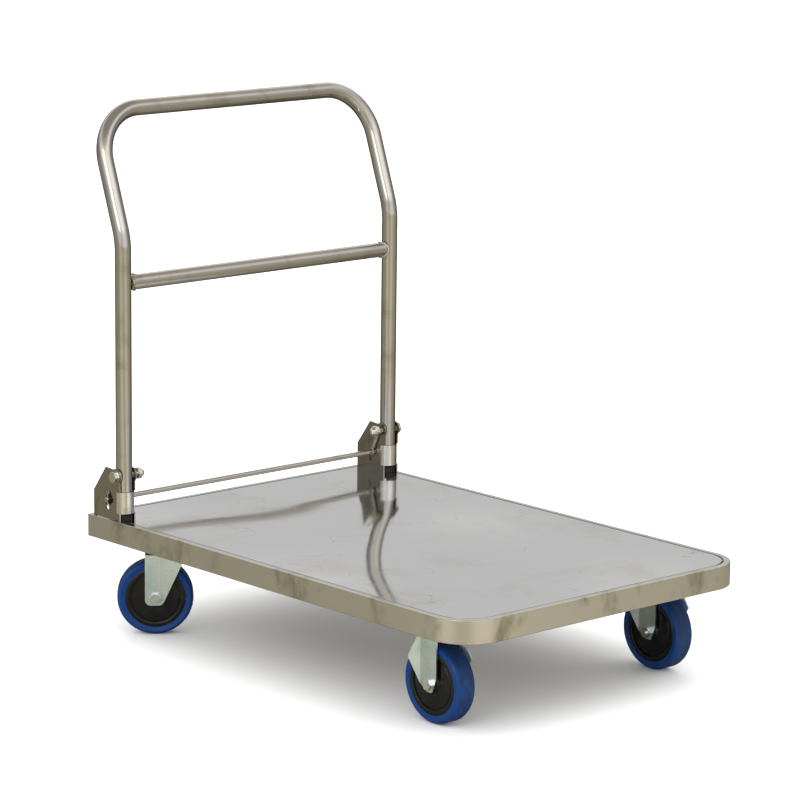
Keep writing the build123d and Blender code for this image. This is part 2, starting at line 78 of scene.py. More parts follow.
def pick(piece, test, kind="FACE"):
    # Selects the faces, edges or vertices whose middle and normal pass the test, and stays in edit mode.
    only(piece)
    bpy.ops.object.mode_set(mode="EDIT")
    bpy.ops.mesh.select_mode(type=kind)
    bpy.ops.mesh.select_all(action="DESELECT")
    bpy.ops.object.mode_set(mode="OBJECT")
    mesh = piece.data
    points = mesh.vertices
    if kind == "FACE":
        for face in mesh.polygons:
            face.select = bool(test(face.center, face.normal))
    elif kind == "EDGE":
        for edge in mesh.edges:
            a, b = (points[i].co for i in edge.vertices)
            edge.select = bool(test((a + b) / 2, (b - a).normalized()))
    else:
        for point in points:
            point.select = bool(test(point.co, point.normal))
    bpy.ops.object.mode_set(mode="EDIT")


def finished(piece, name, angle=35, flats=False):
    # Clean normals, smooth shading, and the piece's place kept in its mesh. Flats keeps flat faces truly flat.
    only(piece)
    bpy.ops.object.mode_set(mode="EDIT")
    bpy.ops.mesh.select_all(action="SELECT")
    bpy.ops.mesh.remove_doubles(threshold=0.00002)
    bpy.ops.mesh.normals_make_consistent(inside=False)
    bpy.ops.object.mode_set(mode="OBJECT")
    bpy.ops.object.transform_apply(location=True, rotation=True, scale=True)
    bpy.ops.object.shade_smooth_by_angle(angle=radians(angle))
    if flats:
        modify(piece, "WEIGHTED_NORMAL", keep_sharp=True)
    piece.name = piece.data.name = name
    return piece


def modify(piece, kind, **values):
    # Adds one modifier and applies it.
    only(piece)
    modifier = piece.modifiers.new(kind.lower(), kind)
    for key, value in values.items():
        setattr(modifier, key, value)
    bpy.ops.object.modifier_apply(modifier=modifier.name)


def joined(parts):
    deselect()
    for part in parts:
        part.select_set(True)
    bpy.context.view_layer.objects.active = parts[0]
    if len(parts) > 1:
        bpy.ops.object.join()
    return parts[0]


def twin(piece, name, place):
    # A copy with its own mesh, moved by the place matrix and applied.
    copy = piece.copy()
    copy.data = piece.data.copy()
    bpy.context.collection.objects.link(copy)
    copy.parent = None
    copy.matrix_world = place
    only(copy)
    bpy.ops.object.transform_apply(location=True, rotation=True, scale=True)
    if place.determinant() < 0:
        bpy.ops.object.mode_set(mode="EDIT")
        bpy.ops.mesh.select_all(action="SELECT")
        bpy.ops.mesh.normals_make_consistent(inside=False)
        bpy.ops.object.mode_set(mode="OBJECT")
    copy.name = copy.data.name = name
    return copy


def softened(nodeName, name, width=0.4, angle=32, dissolve=2.0):
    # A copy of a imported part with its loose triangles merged, flat faces joined and edges rounded.
    source = frame["nodes"][nodeName]
    piece = bpy.data.objects.new(name, source.data.copy())
    bpy.context.collection.objects.link(piece)
    only(piece)
    bpy.ops.object.mode_set(mode="EDIT")
    bpy.ops.mesh.select_all(action="SELECT")
    bpy.ops.mesh.remove_doubles(threshold=0.000005)
    bpy.ops.mesh.dissolve_limited(angle_limit=radians(dissolve))
    bpy.ops.object.mode_set(mode="OBJECT")
    bpy.ops.object.shade_smooth_by_angle(angle=radians(angle))
    modify(piece, "BEVEL", width=width * mm, segments=2, limit_method="ANGLE", angle_limit=radians(angle),
           miter_outer="MITER_ARC", use_clamp_overlap=True, harden_normals=True)
    if "fork" in nodeName or "plate" in nodeName:
        # Folded sheet: big faces decide the shading, so that small corner faces don't show.
        bpy.ops.object.shade_smooth_by_angle(angle=radians(40))
        modify(piece, "WEIGHTED_NORMAL", keep_sharp=True)
    piece.data.name = name
    return piece


# Shader node groups.

def nodeGroup(name, inputs, outputs):
    # An empty node group with its named sockets, and its input and output nodes.
    group = bpy.data.node_groups.new(name, "ShaderNodeTree")
    for way, rows in (("INPUT", inputs), ("OUTPUT", outputs)):
        for label, kind, value in rows:
            socket = group.interface.new_socket(name=label, in_out=way, socket_type="NodeSocket" + kind)
            if value is not None:
                socket.default_value = value
    return group, group.nodes.new("NodeGroupInput"), group.nodes.new("NodeGroupOutput")


def addNode(tree, kind, links=None, **values):
    # links: socket name or number -> another node's output. values: node settings.
    node = tree.nodes.new("ShaderNode" + kind)
    for key, value in values.items():
        setattr(node, key, value)
    for key, source in (links or {}).items():
        if isinstance(source, bpy.types.NodeSocket):
            tree.links.new(source, node.inputs[key])
        else:
            node.inputs[key].default_value = source
    return node


def makeMottle():
    # Soft cloudy patches: 0 where the metal is clean, 1 where it is marked.
    group, start, end = nodeGroup(
        "cloudyMarks",
        [("Place", "Vector", None), ("Scale", "Float", 10.0), ("Low", "Float", 0.5), ("High", "Float", 0.7)],
        [("Mask", "Float", None)])
    noise = addNode(group, "TexNoise", {"Vector": start.outputs["Place"], "Scale": start.outputs["Scale"],
                                        "Detail": 6.0, "Roughness": 0.62, "Distortion": 0.4})
    mask = addNode(group, "MapRange", {"Value": noise.outputs["Fac"], "From Min": start.outputs["Low"],
                                       "From Max": start.outputs["High"]}, interpolation_type="SMOOTHSTEP")
    group.links.new(mask.outputs["Result"], end.inputs["Mask"])
    return group


def makeScratch():
    # Thin wandering lines, broken up into short lengths.
    group, start, end = nodeGroup(
        "hairScratches",
        [("Place", "Vector", None), ("Scale", "Float", 20.0), ("Width", "Float", 0.006), ("Cover", "Float", 0.55)],
        [("Mask", "Float", None)])
    noise = addNode(group, "TexNoise", {"Vector": start.outputs["Place"], "Scale": start.outputs["Scale"],
                                        "Detail": 1.0, "Distortion": 0.2})
    off = addNode(group, "Math", {0: noise.outputs["Fac"], 1: 0.5}, operation="SUBTRACT")
    off = addNode(group, "Math", {0: off.outputs[0]}, operation="ABSOLUTE")
    line = addNode(group, "MapRange", {"Value": off.outputs[0], "From Max": start.outputs["Width"],
                                       "To Min": 1.0, "To Max": 0.0})
    wide = addNode(group, "Math", {0: start.outputs["Scale"], 1: 0.7}, operation="MULTIPLY")
    patch = addNode(group, "TexNoise", {"Vector": start.outputs["Place"], "Scale": wide.outputs[0], "Detail": 2.0})
    keep = addNode(group, "Math", {0: patch.outputs["Fac"], 1: start.outputs["Cover"]}, operation="GREATER_THAN")
    both = addNode(group, "Math", {0: line.outputs["Result"], 1: keep.outputs[0]}, operation="MULTIPLY")
    group.links.new(both.outputs[0], end.inputs["Mask"])
    return group


cloudyMarks = makeMottle()
hairScratches = makeScratch()


def useGroup(tree, group, links):
    node = tree.nodes.new("ShaderNodeGroup")
    node.node_tree = group
    for key, source in links.items():
        if isinstance(source, bpy.types.NodeSocket):
            tree.links.new(source, node.inputs[key])
        else:
            node.inputs[key].default_value = source
    return node


def blankMaterial(name):
    material = bpy.data.materials.new(name)
    material.use_nodes = True
    tree = material.node_tree
    return material, tree, tree.nodes["Principled BSDF"]


def mixColour(tree, factor, a, b):
    # Colour a where the factor is 0, colour b where it is 1.
    return addNode(tree, "Mix", {0: factor, 6: a, 7: b}, data_type="RGBA").outputs[2]


def floatCurve(tree, source, points):
    # A smooth curve through (x, y) points, both between 0 and 1.
    node = addNode(tree, "FloatCurve", {1: source})
    curve = node.mapping.curves[0]
    while len(curve.points) < len(points):
        curve.points.new(0.5, 0.5)
    for point, place in zip(curve.points, points):
        point.location = place
    node.mapping.update()
    return node.outputs[0]


def sheetSag(tree, place, sag):
    # A slow twist, in the shading only: its height in mm is reach * sin(across / reach) * slope(along).
    spot = addNode(tree, "VectorMath", {0: place, 1: (*sag["from"], 0)}, operation="SUBTRACT").outputs[0]
    across = addNode(tree, "VectorMath", {0: spot, 1: sag["across"]}, operation="DOT_PRODUCT").outputs["Value"]
    along = addNode(tree, "VectorMath", {0: spot, 1: sag["along"]}, operation="DOT_PRODUCT").outputs["Value"]
    bend = addNode(tree, "Math", {0: across, 1: sag["reach"]}, operation="DIVIDE").outputs[0]
    bend = addNode(tree, "Math", {0: bend}, operation="SINE").outputs[0]
    slope = addNode(tree, "MapRange", {"Value": along, "From Max": sag["length"], "To Min": 0.0, "To Max": 1.0})
    turn = floatCurve(tree, slope.outputs["Result"], [(x, 0.5 + y) for x, y in sag["slopes"]])
    slope = addNode(tree, "Math", {0: turn, 1: 0.5}, operation="SUBTRACT").outputs[0]
    lift = addNode(tree, "Math", {0: bend, 1: slope}, operation="MULTIPLY").outputs[0]
    return addNode(tree, "Math", {0: lift, 1: sag["reach"] / mm}, operation="MULTIPLY").outputs[0]


def foldDistance(tree, place, fold):
    # Metres beyond the crease, along the side of the fork.
    centre, way, distance = fold
    spot = addNode(tree, "VectorMath", {0: place, 1: (*[c * mm for c in centre], 0)}, operation="SUBTRACT")
    along = addNode(tree, "VectorMath", {0: spot.outputs[0], 1: (*way, 0)}, operation="DOT_PRODUCT")
    return addNode(tree, "Math", {0: along.outputs["Value"], 1: distance * mm}, operation="SUBTRACT").outputs[0]


def metalFinish(name, clean, marked, rough, roughMarked, scale=9.0, low=0.5, high=0.7, grain=(1, 1, 1),
                grainScale=400.0, grainDepth=0.02, wave=0.0, waveScale=8.0, scratch=0.0, scratchScale=14.0,
                scratchShade=0.3, sag=None, fold=None, streak=1.0):
    # Metal with cloudy marks and a fine grain. If asked: a slow wave, hair scratches, a sag, or a crease's painted
    # highlight.
    # Streak stretches the marks up and down.
    material, tree, shader = blankMaterial(name)
    place = addNode(tree, "TexCoord").outputs["Object"]
    runs = addNode(tree, "Mapping", {"Vector": place, "Scale": (1, 1, streak)}).outputs[0]
    marks = useGroup(tree, cloudyMarks, {"Place": runs, "Scale": scale, "Low": low, "High": high}).outputs["Mask"]
    colour = mixColour(tree, marks, (*clean, 1), (*marked, 1))
    # Painted highlight: the colour is brightened in a narrow band along the crease.
    if fold:
        past = foldDistance(tree, place, fold)
        near = addNode(tree, "Math", {0: past}, operation="ABSOLUTE").outputs[0]
        creaseHighlight = addNode(tree, "MapRange", {"Value": near, "From Max": forkCreaseHighlight["halfWidth"] * mm, "To Min": 1.0,
                                           "To Max": 0.0}).outputs[0]
        colour = mixColour(tree, creaseHighlight, colour, (*forkCreaseHighlight["highlightTint"], 1))
    if scratch:
        lines = useGroup(tree, hairScratches, {"Place": place, "Scale": scratchScale}).outputs["Mask"]
        depth = addNode(tree, "Math", {0: lines, 1: scratch}, operation="MULTIPLY").outputs[0]
        dark = [c * scratchShade for c in marked]
        colour = mixColour(tree, depth, colour, (*dark, 1))
    tree.links.new(colour, shader.inputs["Base Color"])
    roughness = addNode(tree, "MapRange", {"Value": marks, "To Min": rough, "To Max": roughMarked})
    tree.links.new(roughness.outputs["Result"], shader.inputs["Roughness"])
    shader.inputs["Metallic"].default_value = 1.0
    stretched = addNode(tree, "Mapping", {"Vector": place, "Scale": grain})
    fine = addNode(tree, "TexNoise", {"Vector": stretched.outputs[0], "Scale": grainScale, "Detail": 3.0})
    bump = addNode(tree, "Bump", {"Height": fine.outputs["Fac"], "Strength": grainDepth, "Distance": 0.001})
    if wave:
        slow = addNode(tree, "TexNoise", {"Vector": place, "Scale": waveScale, "Detail": 1.0})
        bump = addNode(tree, "Bump", {"Height": slow.outputs["Fac"], "Strength": 1.0, "Distance": wave,
                                      "Normal": bump.outputs["Normal"]})
    if sag:
        bump = addNode(tree, "Bump", {"Height": sheetSag(tree, place, sag), "Strength": 1.0, "Distance": mm,
                                      "Normal": bump.outputs["Normal"]})
    tree.links.new(bump.outputs["Normal"], shader.inputs["Normal"])
    return material


treadDust = {"scale": 55.0, "low": 0.3, "high": 0.6, "cover": 0.7, "rough": 0.85}


def plainFinish(name, clean, worn, rough, roughWorn, scale=40.0, low=0.45, high=0.75, bumpScale=900.0,
                bumpDepth=0.08, tread=None, shine=0.5):
    # Rubber or moulded plastic: cloudy wear and a fine pebble.
    material, tree, shader = blankMaterial(name)
    place = addNode(tree, "TexCoord").outputs["Object"]
    marks = useGroup(tree, cloudyMarks, {"Place": place, "Scale": scale, "Low": low, "High": high}).outputs["Mask"]
    colour = mixColour(tree, marks, (*clean, 1), (*worn, 1))
    roughness = addNode(tree, "MapRange", {"Value": marks, "To Min": rough, "To Max": roughWorn}).outputs["Result"]
    if tread:
        # Dust and scuffs where the tyre meets the floor.
        rolled = addNode(tree, "Attribute", attribute_name="tread").outputs["Fac"]
        dust = {"Place": place, "Scale": treadDust["scale"], "Low": treadDust["low"], "High": treadDust["high"]}
        patches = useGroup(tree, cloudyMarks, dust).outputs["Mask"]
        dusty = addNode(tree, "Math", {0: rolled, 1: patches}, operation="MULTIPLY").outputs[0]
        dusty = addNode(tree, "Math", {0: dusty, 1: treadDust["cover"]}, operation="MULTIPLY").outputs[0]
        colour = mixColour(tree, dusty, colour, (*tread, 1))
        mixed = {0: dusty, 2: roughness, 3: treadDust["rough"]}
        roughness = addNode(tree, "Mix", mixed, data_type="FLOAT").outputs[0]
    tree.links.new(colour, shader.inputs["Base Color"])
    tree.links.new(roughness, shader.inputs["Roughness"])
    shader.inputs["Specular IOR Level"].default_value = shine
    fine = addNode(tree, "TexNoise", {"Vector": place, "Scale": bumpScale, "Detail": 3.0})
    bump = addNode(tree, "Bump", {"Height": fine.outputs["Fac"], "Strength": bumpDepth, "Distance": 0.0005})
    tree.links.new(bump.outputs["Normal"], shader.inputs["Normal"])
    return material


deckSag = {
    # from: foot of the far leg. across and along: directions on the deck. slopes: tilt at each part of the length.
    "from": (-0.374, 0.2875), "across": (0.668, 0.744, 0), "along": (0.744, -0.668, 0), "reach": 0.09,
    "length": 1.1,
    "slopes": [(0.0, 0.0), (0.22, -0.01), (0.45, -0.075), (0.62, -0.06), (0.80, 0.01), (1.0, 0.06)],
}
# Painted highlight: a bright line coloured into the zinc along a crease of each swivel fork.
forkCreaseHighlight = {
    # Each fold: axle centre, direction towards the kingpin, and how far along it the crease runs.
    "folds": {
        "left": ((-341.495, 249.184), (cos(radians(52)), -sin(radians(52))), 6.0),
        "right": ((-341.495, -249.184), (cos(radians(52)), sin(radians(52))), 6.0),
    },
    "halfWidth": 1.6, "highlightTint": (0.95, 1.0, 1.0),
}
# Each metal: clean and marked colour, then clean and marked roughness. The steels are tuned to the room below.
finishes = {
    "stainless_mirror": metalFinish(
        "polishedDeck", (0.735, 0.735, 0.73), (0.62, 0.60, 0.575), 0.070, 0.15, scale=5.0, low=0.48, high=0.76,
        grainScale=700.0, grainDepth=0.008, wave=0.0003, waveScale=9.0, scratch=0.55, sag=deckSag),
    "stainless_satin": metalFinish(
        "satinSteel", (0.61, 0.59, 0.545), (0.33, 0.295, 0.22), 0.17, 0.32, scale=19.0, low=0.50, high=0.74,
        streak=0.5, grain=(0.3, 0.3, 2), grainScale=500.0, grainDepth=0.04),
    "bracket_steel": metalFinish(
        "bracketSteel", (0.34, 0.315, 0.26), (0.18, 0.160, 0.12), 0.20, 0.34, scale=16.0, low=0.50, high=0.72,
        grain=(0.3, 0.3, 2), grainScale=500.0, grainDepth=0.04),
    # The bend round each bracket's leg: a brighter copy of the bracket steel, a painted highlight.
    "bracket_bend": metalFinish(
        "bracketBend", (0.74, 0.72, 0.68), (0.50, 0.47, 0.41), 0.10, 0.22, scale=30.0, low=0.50, high=0.75,
        grain=(2, 2, 0.2), grainScale=500.0, grainDepth=0.03),
    "stainless_tube": metalFinish(
        "tubeSteel", (0.52, 0.50, 0.465), (0.37, 0.345, 0.295), 0.10, 0.18, scale=14.0, low=0.5, high=0.75,
        grain=(1, 1, 0.05), grainScale=600.0, grainDepth=0.03),
    "bright_fastener": metalFinish(
        "brightSteel", (0.66, 0.65, 0.61), (0.40, 0.38, 0.33), 0.11, 0.26, scale=60.0, grainDepth=0.02),
    # The rod washers are coloured near black.
    "dark_washer": metalFinish(
        "blackenedSteel", (0.045, 0.043, 0.040), (0.10, 0.095, 0.085), 0.30, 0.45, scale=90.0, grainDepth=0.03),
    "spring_steel": metalFinish(
        "springSteel", (0.48, 0.47, 0.44), (0.22, 0.20, 0.17), 0.22, 0.38, scale=80.0, grainDepth=0.02),
    "zinc_plate": metalFinish(
        "zincPlate", (0.80, 0.93, 0.95), (0.66, 0.77, 0.78), 0.30, 0.46, scale=30.0, low=0.42, high=0.7,
        grainScale=900.0, grainDepth=0.05),
    # Zinc for the swivel forks, with a painted highlight along the crease.
    **{f"fork_zinc_{name}": metalFinish(
        f"foldedZinc{name.title()}", (0.80, 0.93, 0.95), (0.58, 0.70, 0.72), 0.27, 0.42, scale=26.0, low=0.42,
        high=0.7, grainScale=500.0, grainDepth=0.004, streak=0.5, fold=fold)
       for name, fold in forkCreaseHighlight["folds"].items()},
    "zinc_fastener": metalFinish(
        "zincFastener", (0.92, 0.97, 0.98), (0.55, 0.58, 0.57), 0.13, 0.30, scale=70.0, grainDepth=0.04),
    "bearing_steel": metalFinish(
        "bearingSteel", (0.62, 0.62, 0.61), (0.4, 0.4, 0.38), 0.2, 0.35, scale=70.0, grainDepth=0.02),
    "black_rubber": plainFinish(
        "blackRubber", (0.004, 0.0042, 0.0042), (0.012, 0.012, 0.011), 0.40, 0.60, shine=0.35),
    "blue_tyre": plainFinish(
        "blueTyre", (0.0028, 0.033, 0.145), (0.005, 0.043, 0.172), 0.30, 0.50, tread=(0.010, 0.022, 0.045),
        shine=0.2),
    "black_core": plainFinish(
        "blackCore", (0.0035, 0.0038, 0.0042), (0.013, 0.013, 0.013), 0.20, 0.38, scale=30.0, bumpScale=70.0,
        bumpDepth=0.6, shine=0.42),
}


def slotOf(nodeName):
    return frame["nodes"][nodeName].data.materials[0].name.split(".")[0]


for nodeName, node in frame["nodes"].items():
    node.material_slots[0].link = "OBJECT"
    node.material_slots[0].material = finishes[slotOf(nodeName)]
print("finishes made:", len(finishes))


# Who rides where, and finishes.

def bodyOf(nodeName):
    return frame["nodes"][nodeName].parent.name.split(":")[1]


def dress(piece, body, slotName, *nodes, finish=None):
    piece.data.materials.clear()
    piece.data.materials.append(finishes[finish or slotName])
    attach(piece, body)
    if nodes:
        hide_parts(*nodes)


# Turned shapes.

def arcRings(centreR, centreH, radius, startAngle, endAngle, steps):
    # Ring list round a quarter or less: angle 0 points outwards, 90 degrees points up.
    angles = [radians(startAngle + (endAngle - startAngle) * i / steps) for i in range(steps + 1)]
    return [(centreR + radius * cos(a), centreH + radius * sin(a)) for a in angles]


def turned(rings, sides=96, closed=True):
    # Extrudes a circle through (radius, height) rings in mm about Z. Closed joins the last ring to the first.
    deselect()
    radius, height = rings[0]
    bpy.ops.mesh.primitive_circle_add(vertices=sides, radius=radius * mm, location=(0, 0, height * mm))
    piece = bpy.context.object
    bpy.ops.object.transform_apply(location=True)
    bpy.ops.object.mode_set(mode="EDIT")
    bpy.ops.mesh.select_all(action="SELECT")
    for newRadius, newHeight in rings[1:] + ([rings[0]] if closed else []):
        bpy.ops.mesh.extrude_edges_move(TRANSFORM_OT_translate={"value": (0, 0, (newHeight - height) * mm)})
        if newRadius != radius:
            grow = newRadius / radius
            bpy.ops.transform.resize(value=(grow, grow, 1), center_override=(0, 0, newHeight * mm))
        radius, height = newRadius, newHeight
    bpy.ops.mesh.select_all(action="SELECT")
    bpy.ops.mesh.remove_doubles(threshold=0.000004)
    bpy.ops.mesh.normals_make_consistent(inside=False)
    bpy.ops.object.mode_set(mode="OBJECT")
    return piece


# Wheels: blue elastic tyre on a black moulded core.

wheel = {
    "radius": 62.5, "ridgeRadius": 57.0, "seatRadius": 49.5, "tyreHalf": 18.0, "treadHalf": 10.0, "seatHalf": 16.6,
    "shoulderRadius": 8.57, "shoulderTurn": 69.0, "hubRadius": 15.0, "boreRadius": 10.5,
    "hubHalf": 18.0, "discHalf": 15.2, "grooveOuter": 42.0, "grooveInner": 39.6, "grooveHalf": 13.6, "edge": 0.6,
    "partingHeight": 0.12, "partingHalf": 1.0, "wearStart": 2.5, "wearFade": 2.5, "crownRise": 1.3, "sides": 128,
}
# Axle centre, and the wheel's turn about Z in degrees.
rearAxles = {"left": ((-341.495, 249.184), -52.0), "right": ((-341.495, -249.184), 52.0)}
frontAxles = {"left": ((335.587, 235.0), 0.0), "right": ((335.587, -235.0), 0.0)}


def makeTyre():
    w = wheel
    shoulder = arcRings(w["radius"] - w["shoulderRadius"], w["treadHalf"], w["shoulderRadius"],
                        0, w["shoulderTurn"], 8)
    ridge = [(w["ridgeRadius"] + 0.5, w["tyreHalf"]), (w["ridgeRadius"] - 0.5, w["tyreHalf"] - 0.1),
             (w["ridgeRadius"] - 1.1, w["tyreHalf"] - 0.45)]
    wall = [(w["seatRadius"] + 2.2, w["seatHalf"] + 0.35), (w["seatRadius"] + 1.4, w["seatHalf"] - 0.15),
            (w["seatRadius"], w["seatHalf"] - 0.2)]
    upper = [(w["radius"], w["partingHalf"])] + shoulder[:-1] + ridge + wall
    mirror = [(r, -h) for r, h in upper[::-1]]
    tread = [(w["radius"], -w["partingHalf"]), (w["radius"] - w["partingHeight"], 0.0),
             (w["radius"], w["partingHalf"])]
    tyre = turned(mirror[:-1] + tread + upper[1:], sides=w["sides"])
    only(tyre)
    bpy.ops.object.shade_smooth_by_angle(angle=radians(38))
    wear = tyre.data.attributes.new("tread", "FLOAT", "POINT")
    for i, point in enumerate(tyre.data.vertices):
        reach = hypot(point.co.x, point.co.y) / mm
        wear.data[i].value = min(1.0, max(0.0, (reach - w["ridgeRadius"] - w["wearStart"]) / w["wearFade"]))
    return tyre


def makeCore():
    w = wheel
    e = w["edge"]
    middle, half = (w["seatRadius"] + w["grooveOuter"]) / 2, (w["seatRadius"] - w["grooveOuter"]) / 2
    crown = [(middle + half * cos(radians(t)), w["seatHalf"] - e + w["crownRise"] * sin(radians(t)))
             for t in range(12, 174, 20)]
    face = crown + [
        (w["grooveOuter"], w["grooveHalf"]), (w["grooveInner"], w["grooveHalf"]),
        (w["grooveInner"] - 0.2, w["discHalf"] - e), (w["grooveInner"] - 0.9, w["discHalf"]),
        (w["hubRadius"] + 4.0, w["discHalf"]), (w["hubRadius"] + 1.5, w["discHalf"] + 0.3),
        (w["hubRadius"] + 0.3, w["discHalf"] + 1.2), (w["hubRadius"], w["hubHalf"] - e),
        (w["hubRadius"] - e, w["hubHalf"]), (w["boreRadius"], w["hubHalf"]),
    ]
    rings = [(w["seatRadius"], w["seatHalf"] - e)] + face
    core = turned([(r, -h) for r, h in rings[::-1]] + rings, sides=w["sides"])
    only(core)
    bpy.ops.object.shade_smooth_by_angle(angle=radians(30))
    return core


def wheelPlace(spot, turn):
    lift = Matrix.Translation((spot[0] * mm, spot[1] * mm, wheel["radius"] * mm))
    return lift @ Matrix.Rotation(radians(turn), 4, "Z") @ Matrix.Rotation(radians(90), 4, "X")


tyreShape, coreShape = makeTyre(), makeCore()
for end, axles in (("rear", rearAxles), ("front", frontAxles)):
    for side, (spot, turn) in axles.items():
        body = f"wheel_{end}_{side}"
        place = wheelPlace(spot, turn)
        label = end.title() + side.title()
        dress(twin(tyreShape, f"tyre{label}", place), body, "blue_tyre", f"tyre_{end}_{side}")
        dress(twin(coreShape, f"core{label}", place), body, "black_core", f"wheel_core_{end}_{side}")
for shape in (tyreShape, coreShape):
    bpy.data.objects.remove(shape)
print("wheels made")


# Handle: one bent tube, a crossbar and its welds.

handle = {
    "legX": -374.413, "legY": 287.45, "tubeRadius": 13.45, "footZ": 228.976, "bendZ": 651.0, "bendRadius": 120.0,
    "lean": 19.8, "gripX": -447.137, "gripZ": 853.0, "gripCorner": 85.0,
    "crossbarZ": 581.0, "crossbarRadius": 12.5, "crossbarBite": 2.0,
    "beadRadius": 1.5, "beadStandOff": 0.5, "beadRipples": 38, "beadRipple": 0.10,
    "bendSteps": 14, "cornerSteps": 28, "sides": 56,
}


def makeHoop():
    h = handle
    lean = radians(h["lean"])
    tangent = h["bendRadius"] * sin(lean / 2) / cos(lean / 2)
    bendStart = h["bendZ"] - tangent
    along = Vector((-sin(lean), 0, cos(lean)))
    corner = Vector((h["gripX"], -h["legY"], h["gripZ"]))
    bendEnd = Vector((h["legX"], -h["legY"], h["bendZ"])) + along * tangent
    straight = (corner - bendEnd).length - h["gripCorner"]
    deselect()
    bpy.ops.mesh.primitive_circle_add(vertices=h["sides"], radius=h["tubeRadius"] * mm, fill_type="NGON",
                                      location=(h["legX"] * mm, -h["legY"] * mm, h["footZ"] * mm))
    hoop = bpy.context.object
    bpy.ops.object.transform_apply(location=True)
    bpy.ops.object.mode_set(mode="EDIT")
    bpy.ops.mesh.select_all(action="SELECT")
    bpy.ops.mesh.extrude_region_move(TRANSFORM_OT_translate={"value": (0, 0, (bendStart - h["footZ"]) * mm)})
    bpy.ops.mesh.spin(steps=h["bendSteps"], angle=lean, axis=(0, 1, 0),
                      center=((h["legX"] - h["bendRadius"]) * mm, -h["legY"] * mm, bendStart * mm))
    bpy.ops.mesh.extrude_region_move(TRANSFORM_OT_translate={"value": along * straight * mm})
    pivot = corner - along * h["gripCorner"] + Vector((0, h["gripCorner"], 0))
    turnAxis = along.cross(Vector((0, 1, 0)))
    bpy.ops.mesh.spin(steps=h["cornerSteps"], angle=-pi / 2, axis=turnAxis, center=pivot * mm)
    bpy.ops.mesh.extrude_region_move(
        TRANSFORM_OT_translate={"value": (0, (h["legY"] - h["gripCorner"]) * mm, 0)})
    bpy.ops.mesh.delete(type="ONLY_FACE")
    bpy.ops.object.mode_set(mode="OBJECT")
    modify(hoop, "MIRROR", use_axis=(False, True, False), use_mirror_merge=True, merge_threshold=0.0002)
    return finished(hoop, "handleHoop")


def makeCrossbar():
    h = handle
    reach = h["legY"] - h["tubeRadius"] + h["crossbarBite"]
    bar = turned([(h["crossbarRadius"], -reach), (h["crossbarRadius"], 0.0), (h["crossbarRadius"], reach)],
                 sides=h["sides"], closed=False)
    pick(bar, lambda c, n: abs(abs(c.z) - reach * mm) < 1e-5, "VERT")
    bpy.ops.mesh.fill_holes(sides=0)
    bpy.ops.object.mode_set(mode="OBJECT")
    bar.rotation_euler = (radians(90), 0, 0)
    bar.location = (h["legX"] * mm, 0, h["crossbarZ"] * mm)
    return finished(bar, "handleCrossbar")


def makeWelds():
    # A rippled bead that follows each joint of the crossbar and a leg.
    h = handle
    ringRadius = (h["crossbarRadius"] + h["beadStandOff"]) * mm
    beads = []
    for side in (-1, 1):
        deselect()
        bpy.ops.mesh.primitive_torus_add(major_radius=ringRadius, minor_radius=h["beadRadius"] * mm,
                                         major_segments=152, minor_segments=12)
        bead = bpy.context.object
        for point in bead.data.vertices:
            around = atan2(point.co.y, point.co.x)
            ripple = 1 + h["beadRipple"] * sin(around * h["beadRipples"])
            ring = Vector((cos(around), sin(around), 0)) * ringRadius
            local = (point.co - ring) * ripple
            saddle = h["tubeRadius"] - sqrt(h["tubeRadius"] ** 2 - (h["crossbarRadius"] * sin(around)) ** 2)
            point.co = ring + local + Vector((0, 0, saddle * mm))
        bead.rotation_euler = (radians(90 * side), 0, 0)
        bead.location = (h["legX"] * mm, side * (h["legY"] - h["tubeRadius"]) * mm, h["crossbarZ"] * mm)
        only(bead)
        bpy.ops.object.transform_apply(location=True, rotation=True, scale=True)
        beads.append(bead)
    return finished(joined(beads), "crossbarWelds", 60)


dress(makeHoop(), "handle", "stainless_tube", "handle_hoop")
dress(makeCrossbar(), "handle", "stainless_tube", "handle_crossbar")
dress(makeWelds(), "handle", "stainless_satin")
print("handle made")


# Deck: polished panel and a folded rim.

deck = {
    "rear": -449.413, "front": 460.587, "half": 305.0, "top": 188.5, "bottom": 151.0, "corner": 65.0, "sheet": 1.5,
    "lip": 10.5, "underLip": 9.0, "bend": 1.3, "groove": 2.4, "panelCorner": 54.0, "panelTop": 188.45,
    "panelEdge": 0.5, "rimEdge": 0.3, "cornerSteps": 28,
}


def deckSheet(inset, corner, z):
    # A flat outline with the two front corners rounded.
    rear, front, half = deck["rear"] + inset, deck["front"] - inset, deck["half"] - inset
    deselect()
    bpy.ops.mesh.primitive_plane_add(size=1, location=((rear + front) / 2 * mm, 0, z * mm))
    sheet = bpy.context.object
    sheet.scale = ((front - rear) * mm, 2 * half * mm, 1)
    bpy.ops.object.transform_apply(location=True, rotation=True, scale=True)
    pick(sheet, lambda c, n: c.x > (front - 1) * mm, "VERT")
    bpy.ops.mesh.bevel(offset=corner * mm, segments=deck["cornerSteps"], affect="VERTICES")
    bpy.ops.object.mode_set(mode="OBJECT")
    return sheet


def makePanel():
    d = deck
    panel = deckSheet(d["lip"] + d["groove"], d["panelCorner"], d["panelTop"])
    modify(panel, "SOLIDIFY", thickness=d["sheet"] * mm, offset=-1)
    modify(panel, "BEVEL", width=d["panelEdge"] * mm, segments=3, limit_method="ANGLE", angle_limit=radians(60))
    return finished(panel, "deckPanel", 50, flats=True)


def onRimEdge(c, d):
    # Is this point on the outer outline of the deck?
    x, y = c.x / mm, abs(c.y) / mm
    centreX, centreY = d["front"] - d["corner"], d["half"] - d["corner"]
    if x > centreX and y > centreY:
        return hypot(x - centreX, y - centreY) > d["corner"] - 1.0
    return x < d["rear"] + 0.1 or x > d["front"] - 0.1 or y > d["half"] - 0.1


